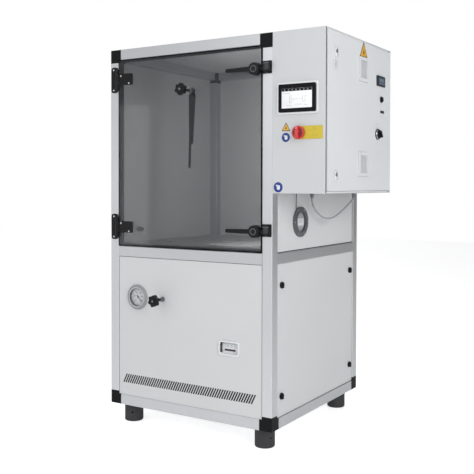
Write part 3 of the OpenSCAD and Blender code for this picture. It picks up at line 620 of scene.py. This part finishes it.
# ---------------------------------------------------------------- chamber door furniture
for k, z in enumerate((955, 1739)):
    s = Shape()
    s.screw(-423, z + 19, "y", -509, -1, 4.6)
    s.screw(-368, z - 22, "y", -509, -1, 4.6)
    s.done("door_hinge_screws_%d" % k, "chamber_door")
    s = Shape()
    s.screw(-476, z + 54, "y", -504, -1, 4.6)
    s.screw(-476, z - 54, "y", -504, -1, 4.6)
    s.done("post_hinge_screws_%d" % k, "cabinet")
for k, z in enumerate((957, 1731)):
    s = Shape()
    s.screw(478, z + 29, "y", -506, -1, 3.6, "fitting_black")
    s.screw(478, z - 17, "y", -506, -1, 3.6, "fitting_black")
    s.ring(472, z + 29, 5.2, 7.0, "y", -506.7, -505.9, "gland_grey", 24, 0.3)
    s.ring(472, z - 16, 5.2, 7.0, "y", -506.7, -505.9, "gland_grey", 24, 0.3)
    s.prism(rounded(476, z + 6, 26, 30, 5), "y", -522.7, -521.9, "controller_black", 0.5)
    s.box((459, -523.0, z + 22), (492, -521.9, z + 24.6), "gland_grey", 0.5)
    s.done("keeper_screws_%d" % k, "cabinet")
    # cap in the middle of the latch hub, with its socket screw
    s = Shape()
    s.ring(413, z, 9.5, 12, "y", -534.8, -533.6, "controller_black", bev=0.3)
    s.ring(413, z, 14.2, 16.2, "y", -534.5, -533.6, "gland_grey", bev=0.2)
    s.screw(413, z, "y", -534, -1, 5.5, "fitting_black")
    s.done("latch_cap_%d" % k, "lower_latch" if k == 0 else "upper_latch")

# light inserts of the two star knobs
for nm, x, z, body in (("valve", -152, 586, "valve_knob"), ("wiper", 17, 1655, "wiper")):
    s = Shape()
    s.disc(x, z, 5.6, "y", -584.7, -583.6, "insert_grey", 0.4)
    s.done("knob_insert_" + nm, body)

# ---------------------------------------------------------------- gauge
SEG = {"0": "abcdef", "1": "bc", "2": "abged", "4": "fgbc", "6": "afgedc", "8": "abcdefg"}


def digit(x, z, w, h, ch, y0, y1, mat, t):
    """A seven-bar figure for a dial, its lower left corner at x, z."""
    bars = {"a": (0, h - t, w, t), "g": (0, (h - t) / 2, w, t), "d": (0, 0, w, t), "f": (0, h / 2, t, h / 2),
            "e": (0, 0, t, h / 2), "b": (w - t, h / 2, t, h / 2), "c": (w - t, 0, t, h / 2)}
    for k in SEG[ch]:
        a, b, c, d = bars[k]
        s.box((x + a, y0, z + b), (x + a + c, y1, z + b + d), mat)


s = Shape()
gx, gz = -318, 585
s.disc(gx, gz, 46.2, "y", -490.9, -490.1, "dial_grey", 0.2, 72)
for i in range(41):
    a = math.radians(225 - i * 270 / 40)
    big = i % 5 == 0
    r0, r1, hw = (33 if big else 37), 41, (1.1 if big else 0.45)
    c, sn = math.cos(a), math.sin(a)
    pts = [(gx + r * c - w * sn, gz + r * sn + w * c) for r, w in ((r0, -hw), (r1, -hw), (r1, hw), (r0, hw))]
    s.prism(pts, "y", -491.15, -490.85, "ink_dark")
for i, txt in enumerate(("0", "20", "40", "60", "80", "100")):
    a = math.radians(225 - i * 54)
    wd, ht = 4.2, 7.2
    x0 = gx + 25 * math.cos(a) - (len(txt) * (wd + 1.4) - 1.4) / 2
    for k, ch in enumerate(txt):
        digit(x0 + k * (wd + 1.4), gz + 25 * math.sin(a) - ht / 2, wd, ht, ch, -491.15, -490.85, "ink_dark", 1.3)
s.done("gauge_dial", "cabinet")
s = Shape()
# black lining on the inner wall of the bezel: painted shade for the dark crescent inside it; the pale ring outside it
# is a painted highlight on the bezel
s.ring(gx, gz, 45.9, 46.85, "y", -505.8, -491.2, "controller_black", 72, 0.1)
s.ring(gx, gz, 48.4, 52.6, "y", -507.9, -506.8, "label_grey", 72, 0.4)
s.done("gauge_bezel", "cabinet")

# ---------------------------------------------------------------- recess with its slot
s = Shape()
s.prism(rounded(252, 364, 63.4, 9.4, 1.5), "y", -479.6, -477.2, "slot_dark", 0.4)
# grey band across the top of the recess: painted shadow under its top wall
s.prism(rounded(260, 398, 96, 9, 3), "y", -481.0, -480.1, "duct_grey", 0.2)
for k in range(3):
    s.disc(238 + k * 22, 383, 4.2, "y", -480.9, -480.1, "paper_white", 0.2, 24)
    s.ring(238 + k * 22, 383, 4.6, 6.2, "y", -480.9, -480.1, "duct_grey", 24, 0.1)
s.box((204.3, -496.4, 357), (206.4, -480.6, 395), "ink_dark", 0.5)
s.box((205.5, -496.2, 352), (208.5, -480.6, 358), "ink_dark", 0.5)
s.box((205.5, -496.2, 394), (208.5, -480.6, 400), "ink_dark", 0.5)
s.done("recess_insert", "cabinet")

# ---------------------------------------------------------------- round port
s = Shape()
s.prism(rounded(-204, 993, 62, 36, 2), "x", 498.0, 498.6, "label_dim", 0.15)
s.prism(rounded(-204, 1002, 48, 3, 1), "x", 498.55, 498.8, "ink_grey")
s.prism(rounded(-210, 993, 36, 3, 1), "x", 498.55, 498.8, "ink_grey")
s.done("port_label", "port_plug")
s = Shape()
for a in range(0, 360, 60):
    s.screw(-207 + 68 * math.cos(math.radians(a)), 994 + 68 * math.sin(math.radians(a)), "x", 504, 1, 3.4)
s.done("port_screws", "cabinet")

# ---------------------------------------------------------------- touch panel
s = Shape()
s.prism(rounded(633.5, 1581.5, 157, 91, 1.5), "y", -511.5, -510.7, "screen_lit", 0.2)
s.done("touch_screen", "cabinet")
s = Shape()
s.box((555.6, -511.75, 1614.5), (711.4, -511.4, 1626.6), "hmi_black")
for i in range(7):
    s.disc(571 + i * 20, 1620.5, 2.6, "y", -511.95, -511.7, "ink_grey", 0, 16)
s.box((556, -511.7, 1604), (600, -511.45, 1606), "ink_grey")
# a plain flow diagram: two vessels, a line and some values
for x0, z0, w, h in ((596, 1562, 2, 34), (604, 1562, 2, 34), (596, 1560, 10, 2), (664, 1566, 2, 26), (676, 1566, 2, 26),
                     (664, 1564, 14, 2), (606, 1578, 58, 1.4), (678, 1588, 12, 1.4), (580, 1548, 26, 1.4),
                     (626, 1552, 34, 1.4), (672, 1549, 22, 1.4), (640, 1592, 1.6, 9), (614, 1570, 8, 1.4)):
    s.box((x0, -511.75, z0), (x0 + w, -511.45, z0 + h), "duct_grey")
s.done("touch_screen_marks", "cabinet")
s = Shape()
for x0 in (534, 734):
    for z0 in (1516, 1649):
        s.screw(x0, z0, "y", -504, -1, 2.4)
s.done("touch_frame_screws", "cabinet")

# ---------------------------------------------------------------- main switch, plate marks, signs on the box front
s = Shape()
s.box((642, -534.35, 1438), (644, -533.9, 1449), "paper_white", 0.1)
# dark red crescents either side of the grip: painted shade in the hollows beside it
for sx in (-1, 1):
    pts = [(643 + sx * (9.5 + 0), 1422 + 24), (643 + sx * 9.5, 1422 - 24)]
    arc = [(643 + sx * 25 * math.cos(math.radians(a)), 1422 + 25 * math.sin(math.radians(a))) for a in range(-64, 65, 8)]
    s.prism((pts[1:] + arc + pts[:1])[::sx], "y", -518.5, -517.9, "red_grip_shade", 0.2)
s.done("switch_mark_and_grip_shade", "main_switch")
s = Shape()
s.ring(643, 1422, 28, 30.5, "y", -503.5, -503.0, "ink_grey", 56, 0.1)
for x0, z0, w, h in ((694, 1429, 52, 1.6), (690, 1410, 58, 1.6), (690, 1404, 50, 1.6), (690, 1398, 30, 1.6)):
    s.box((x0, -503.35, z0), (x0 + w, -502.95, z0 + h), "ochre")
s.prism(tri(720, 1442, 16, 12, 1), "y", -503.35, -502.95, "ochre")
s.done("switch_plate_marks", "cabinet")
s = Shape()
s.prism(tri(572.5, 1452, 46, 41, 3), "y", -500.5, -499.9, "ink_dark", 0.1)
s.prism(tri(572.5, 1450.6, 37, 32, 2), "y", -500.8, -500.4, "sticker_yellow", 0.1)
s.prism(tri(572.5, 1448, 9, 14, 1), "y", -501.0, -500.7, "ink_dark")
s.done("front_triangle_sign", "cabinet")
for nm, x0, z0, r in (("upper", 572, 1402, 23.5), ("lower", 532, 1169, 26)):
    s = Shape()
    s.disc(x0, z0, r, "y", -500.5, -499.9, "paper_white", 0.1, 48)
    s.disc(x0, z0, r - 1.5, "y", -500.8, -500.4, "sticker_blue", 0.1, 48)
    s.prism(rounded(x0 + 1, z0 - 1, r * 0.62, r * 0.8, r * 0.16), "y", -501.05, -500.7, "paper_white", 0.1)
    s.prism(rounded(x0 - r * 0.28, z0 + r * 0.3, r * 0.36, r * 0.3, r * 0.1), "y", -501.05, -500.7, "paper_white", 0.1)
    s.done("front_round_sign_" + nm, "cabinet")

# ---------------------------------------------------------------- box door
s = Shape()
s.prism(tri(-78, 1855, 96, 78, 4), "x", 780.9, 781.5, "ink_dark", 0.1)
s.prism(tri(-78, 1852, 81, 64, 3), "x", 781.4, 781.8, "sticker_yellow", 0.1)
s.prism(tri(-78, 1847, 16, 28, 1.5), "x", 781.7, 782.0, "ink_dark")
s.done("door_triangle_sign", "box_door")
s = Shape()
s.ring(-407, 1738, 19.5, 23, "x", 780.9, 781.5, "duct_grey", 48, 0.15)
s.disc(-407, 1738, 18.6, "x", 780.9, 781.4, "paper_white", 0.1, 48)
s.prism(rounded(-407, 1738, 16, 22, 3), "x", 781.3, 781.6, "ink_grey")
s.done("door_round_label", "box_door")
s = Shape()
s.prism(rounded(149.5, 1720.5, 84, 39, 2), "x", 786.9, 787.3, "display_blue", 0.1)
for i, ch in enumerate("2460"):
    y0 = 124 + i * 13
    bars = {"a": (0, 12.6, 7, 1.4), "g": (0, 6.3, 7, 1.4), "d": (0, 0, 7, 1.4), "f": (0, 7, 1.4, 7), "e": (0, 0, 1.4, 7),
            "b": (5.6, 7, 1.4, 7), "c": (5.6, 0, 1.4, 7)}
    for k in SEG[ch]:
        a, b, c, d = bars[k]
        s.box((787.2, y0 + a, 1719 + b), (787.5, y0 + a + c, 1719 + b + d), "label_grey")
s.box((787.2, 116, 1708), (787.5, 182, 1709.2), "label_grey")
s.done("controller_display", "box_door")
s = Shape()
s.prism(rounded(169, 1563, 50, 12.5, 6.1), "x", 780.8, 784.4, "controller_black", 0.8)
s.box((784.2, 156, 1562.4), (784.8, 182, 1563.6), "fitting_black", 0.2)
s.done("interface_cover", "box_door")
s = Shape()
s.ring(106, 1444, 22.8, 26.6, "x", 781, 790, "screw_steel", 64, 0.8)
s.ring(106, 1444, 26.9, 28.2, "x", 781, 787, "controller_black", 64, 0.3)
s.ring(154, 1627, 13.5, 16.6, "x", 781, 785.4, "controller_black", 48, 0.8)
s.done("selector_collar", "box_door")
s = Shape()
s.box((807.9, 105.4, 1457), (808.12, 106.6, 1463), "paper_white", 0.1, rot=("x", -35), about=(808, 106, 1444))
s.done("selector_mark", "selector")
# small blank legend plates under the controls
s = Shape()
for y0, z0, w, h in ((104, 1499, 30, 1.6), (104, 1494, 22, 1.6), (96, 1392, 34, 1.6), (132, 1392, 18, 1.6), (150, 1598, 30, 1.6),
                     (160, 1538, 44, 1.6), (160, 1532, 30, 1.6), (112, 1338, 44, 1.6), (140, 1330, 18, 1.6)):
    s.box((780.9, y0 - w / 2, z0), (781.25, y0 + w / 2, z0 + h), "ink_faint", 0.1)
s.done("legend_plates", "box_door")
for k, z in enumerate((1755, 1284)):
    s = Shape()
    s.prism(rounded(-78, z, 83, 87, 2), "x", 769, 773.6, "filter_mat", 0.5)
    # darker grey plate showing as a thin rim round the vent frame: painted shade along the frame's edge
    s.prism(rounded(-78, z, 119.6, 123.6, 5), "x", 780.9, 781.7, "duct_grey", 0.2)
    s.done("filter_mat_%d" % k, "box_door")
# black strip in the groove round the box door: partly a sealing strip, partly painted shade for the shadow in the gap
s = Shape()
s.box((768.3, -497.6, 1143), (775.4, -488.6, 1897), "seal_rubber", 1.2)
s.done("box_seal_strip_and_gap_shade", "cabinet")
s = Shape()
s.box((768.3, -488.3, 1889.4), (775.6, 264, 1897.6), "box_paint", 1.6, 3)
s.box((768.3, -488.3, 1142.4), (775.6, 264, 1150.6), "box_paint", 1.6, 3)
s.done("box_drip_channels", "cabinet")
# dark sheet with the filter behind the slanted slots
s = Shape()
s.prism([(-424, 112), (424, 112), (424, 178), (-424, 178)], "y", -493.8, -492.4, "filter_dark", 0.4)
s.done("slot_filter", "cabinet")
s = Shape()
for z in (1228, 1800):
    for dz in (-22, 15):
        s.screw(-400, z + dz, "x", 784, 1, 2.2)
    s.prism(rounded(-400, z - 4, 36.6, 54.6, 18), "x", 780.9, 782.4, "duct_grey", 0.4)
    s.prism(rounded(-400, z - 4, 30, 48, 14.6), "x", 783.9, 784.3, "recess_white", 0.15)
s.done("lock_plates", "box_door")

# dark strips round the front panel and the upper right panel: painted shadow in the gaps where the panels sit back;
# black edge of the door pane
s = Shape()
s.box((-444.9, -497.9, 795.2), (444.9, -496.9, 796.9), "painted_gap_shade")
s.box((-444.9, -497.9, 56), (-443.5, -496.9, 796.5), "painted_gap_shade")
s.box((443.4, -497.9, 56), (444.9, -496.9, 796.5), "painted_gap_shade")
s.done("front_panel_gap_shade", "cabinet")
s = Shape()
s.box((493.8, -444.8, 852.2), (494.6, 444.8, 855.8), "painted_gap_shade")
s.box((493.8, 441.0, 856), (494.6, 444.8, 1139), "painted_gap_shade")
s.box((493.8, -444.8, 856), (494.6, -443.0, 1139), "painted_gap_shade")
s.done("side_panel_gap_shade", "cabinet")
s = Shape()
zt, zb = 1843.2, 854.8
s.box((-443.9, -503.7, zb), (443.9, -502.9, zb + 5), "edge_black", 0.2)
s.box((-443.9, -503.7, zt - 5), (443.9, -502.9, zt), "edge_black", 0.2)
s.box((-443.9, -503.7, zb + 5.1), (-438.9, -502.9, zt - 5.1), "edge_black", 0.2)
s.box((438.9, -503.7, zb + 5.1), (443.9, -502.9, zt - 5.1), "edge_black", 0.2)
s.done("pane_edge_seal", "chamber_door")

# ---------------------------------------------------------------- things inside the chamber
s = Shape()
s.disc(-279, 931, 14, "x", -492, -484, "edge_black", 1.0)
s.disc(-279, 931, 12, "x", -484, -462, "edge_black", 1.2)
s.disc(-279, 931, 4, "x", -462, -452, "edge_black", 0.5)
lead = catmull([(-480, -279, 923), (-478, -278, 905), (-476, -272, 888), (-474, -262, 876), (-472, -244, 859)], 5)
s.tube(lead, 3.2, "ink_grey", 10)
s.done("chamber_probe", "cabinet")
s = Shape()
s.screw(240, 1782, "y", 492, -1, 5, "controller_black")
s.screw(-300, 1782, "y", 492, -1, 3, "screw_steel")
s.done("rear_wall_plugs", "cabinet")

# ---------------------------------------------------------------- wiring inside the control box
s = Shape()
cols = ["wire_black", "wire_blue", "wire_red"]


def wire(a, b, k, bulge=26):
    a, b = Vector(a), Vector(b)
    mid = (a + b) / 2 + Vector((bulge, 0, 0))
    s.tube(catmull([a, a + Vector((bulge * 0.5, 0, (b.z - a.z) * 0.12)), mid, b + Vector((bulge * 0.5, 0, (a.z - b.z) * 0.12)), b], 4),
           2.6, cols[k % 3], 8)


for i in range(8):
    y = -386 + i * 19
    wire((590, y, 1570), (572, y + 2, 1612), i)
    wire((590, y, 1490), (572, y - 2, 1450), i + 1)
for i in range(5):
    for j in (-10, 0, 10):
        y = -288 + i * 50 + j
        wire((600, y, 1768), (572, y, 1812), i + j // 10 + 3)
        wire((600, y, 1692), (572, y, 1650), i + j // 10 + 4)
for i in range(6):
    wire((600, -209 + i * 24, 1562), (572, -209 + i * 24, 1612), 2)
    wire((600, -209 + i * 24, 1498), (572, -209 + i * 24, 1450), 1)
for i in range(0, 23, 1):
    wire((563, -386 + i * 8.4, 1308), (568, -386 + i * 8.4, 1240), i, 12)
    wire((563, -386 + i * 8.4, 1352), (568, -386 + i * 8.4, 1410), i + 1, 12)
s.done("box_wiring", "cabinet")
s = Shape()
for z in (1220, 1430, 1630, 1830):
    n = 36
    for i in range(n):
        y = -400 + i * 17.5
        s.box((575.0, y, z - 18.5), (575.9, y + 9, z + 18.5), "duct_grey", 0.3)
s.done("duct_covers", "cabinet")
s = Shape()
for i in range(24):
    s.box((565, -389 + i * 8.4, 1318), (566.6, -383.4 + i * 8.4, 1342), "terminal_green" if i % 6 == 0 else "device_grey", 0.3)
for i in range(5):
    s.box((608, -300 + i * 50, 1724), (611, -276 + i * 50, 1736), "controller_black", 0.6)
s.box((640, -50, 1500), (641, 60, 1560), "display_blue", 0.3)
s.box((640, 90, 1480), (642, 190, 1580), "controller_black", 0.5)
s.box((622, -388, 1690), (623, -342, 1780), "label_grey", 0.3)
s.done("switchgear_faces", "cabinet")

# ---------------------------------------------------------------- stage: floor, world, lights
bm = bmesh.new()
bmesh.ops.create_grid(bm, x_segments=2, y_segments=2, size=14)
me = bpy.data.meshes.new("floor")
bm.to_mesh(me)
bm.free()
floor = bpy.data.objects.new("floor", me)
floor.location = (0, 0, -0.0005)
scene.collection.objects.link(floor)
fmat, fnt, fp = tree("floor_white")
fp.inputs["Base Color"].default_value = (0.93, 0.93, 0.93, 1)
fp.inputs["Roughness"].default_value = 0.16
fp.inputs["Specular IOR Level"].default_value = 0.35
fp.inputs["Emission Color"].default_value = (1, 1, 1, 1)
flp = fnt.nodes.new("ShaderNodeLightPath")
fmr = fnt.nodes.new("ShaderNodeMapRange")
fmr.inputs["To Min"].default_value, fmr.inputs["To Max"].default_value = 0.33, 0.61
fnt.links.new(flp.outputs["Is Camera Ray"], fmr.inputs["Value"])
fnt.links.new(fmr.outputs[0], fp.inputs["Emission Strength"])
fmc = fnt.nodes.new("ShaderNodeMix")
fmc.data_type = "RGBA"
fmc.inputs[6].default_value = (0.85, 0.85, 0.85, 1)
fmc.inputs[7].default_value = (0.93, 0.93, 0.93, 1)
fnt.links.new(flp.outputs["Is Camera Ray"], fmc.inputs[0])
fnt.links.new(fmc.outputs[2], fp.inputs["Base Color"])
me.materials.append(fmat)

world = bpy.data.worlds.new("studio")
scene.world = world
world.use_nodes = True
wn = world.node_tree
wn.nodes.clear()
wo = wn.nodes.new("ShaderNodeOutputWorld")
bgc = wn.nodes.new("ShaderNodeBackground")
bgl = wn.nodes.new("ShaderNodeBackground")
mixw = wn.nodes.new("ShaderNodeMixShader")
lp = wn.nodes.new("ShaderNodeLightPath")
tcw = wn.nodes.new("ShaderNodeTexCoord")
dotw = wn.nodes.new("ShaderNodeVectorMath")
dotw.operation = "DOT_PRODUCT"
dotw.inputs[1].default_value = (0.53, 0.84, 0.1)
mrw = wn.nodes.new("ShaderNodeMapRange")
mrw.interpolation_type = "SMOOTHSTEP"
mrw.inputs["From Min"].default_value = -0.1
mrw.inputs["From Max"].default_value = 0.95
mrw.inputs["To Min"].default_value = 0.72
mrw.inputs["To Max"].default_value = 0.09
wn.links.new(tcw.outputs["Generated"], dotw.inputs[0])
wn.links.new(dotw.outputs["Value"], mrw.inputs["Value"])
wn.links.new(mrw.outputs[0], bgl.inputs["Strength"])
bgl.inputs["Color"].default_value = (0.985, 0.99, 1, 1)
bgc.inputs["Color"].default_value = (1, 1, 1, 1)
bgc.inputs["Strength"].default_value = 1.0
wn.links.new(lp.outputs["Is Camera Ray"], mixw.inputs[0])
wn.links.new(bgl.outputs[0], mixw.inputs[1])
wn.links.new(bgc.outputs[0], mixw.inputs[2])
wn.links.new(mixw.outputs[0], wo.inputs[0])


def area(name, loc, target, size, power):
    d = bpy.data.lights.new(name, "AREA")
    d.shape = "RECTANGLE"
    d.size, d.size_y = size
    d.energy = power
    o = bpy.data.objects.new(name, d)
    scene.collection.objects.link(o)
    o.location = loc
    o.rotation_mode = "QUATERNION"
    o.rotation_quaternion = (Vector(target) - Vector(loc)).to_track_quat("-Z", "Y")
    return o


area("key", (-0.9, -5.4, 3.0), (-0.1, -0.2, 0.9), (3.2, 3.2), 38)
area("fill", (4.5, -2.4, 2.6), (0.3, 0.0, 1.0), (2.6, 2.6), 140)
area("top", (0.3, -0.6, 5.2), (0, 0, 1), (3, 3), 30)
area("chamber", P(60, -400, 1330), P(440, 400, 1270), (0.3, 0.7), 5.8)
area("strip", (-3.0, -3.5, 1.35), (-0.5, -0.46, 1.35), (0.3, 1.5), 2.6)
